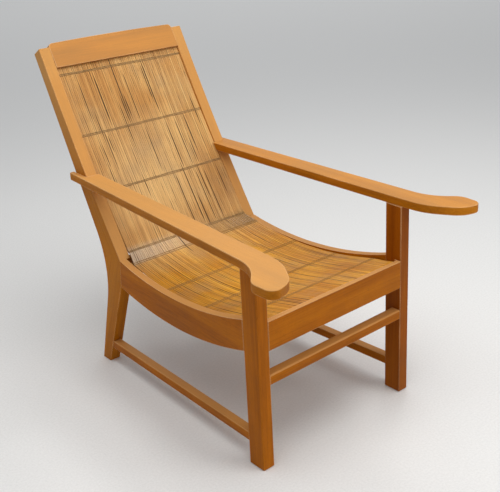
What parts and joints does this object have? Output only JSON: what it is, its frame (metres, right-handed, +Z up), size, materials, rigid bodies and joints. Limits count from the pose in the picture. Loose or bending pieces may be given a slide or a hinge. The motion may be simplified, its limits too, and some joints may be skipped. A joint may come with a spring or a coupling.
{
  "type": "plantation chair",
  "caption": "Low raked wooden armchair with long flat flared arms and a seat and back of split strips that run in one sweep from crest rail to front rail.",
  "frame": {"origin": "on the floor, under the middle of the chair's overall length and width", "axes": "+Z up, +Y towards the back, so the chair faces -Y; +X towards the sitter's left"},
  "size_m": [0.7468, 1.1776, 0.9859],
  "materials": {
    "frame_wood": "oiled satin",
    "slat_wood": "plain sawn",
    "strip": "natural split cane skin",
    "twine": "twisted fibre"
  },
  "bodies": {
    "root": {"rear_leg_left": "frame_wood", "rear_leg_right": "frame_wood", "front_leg_left": "frame_wood", "front_leg_right": "frame_wood", "side_rail_left": "frame_wood", "side_rail_right": "frame_wood", "side_stretcher_left": "frame_wood", "side_stretcher_right": "frame_wood", "arm_left": "frame_wood", "arm_right": "frame_wood", "front_rail": "frame_wood", "rear_rail": "frame_wood", "crest_rail": "frame_wood", "front_stretcher": "frame_wood", "back_slat_upper": "slat_wood", "back_slat_middle": "slat_wood", "back_slat_lower": "slat_wood", "bend_slat": "slat_wood", "seat_slat_rear": "slat_wood", "seat_slat_middle": "slat_wood", "seat_slat_front": "slat_wood", "mat_strips": "strip", "twine_row_1": "twine", "twine_row_2": "twine", "twine_row_3": "twine", "twine_row_4": "twine", "twine_row_5": "twine", "twine_row_6": "twine", "twine_row_7": "twine", "twine_row_8": "twine"}
  },
  "joints": []
}
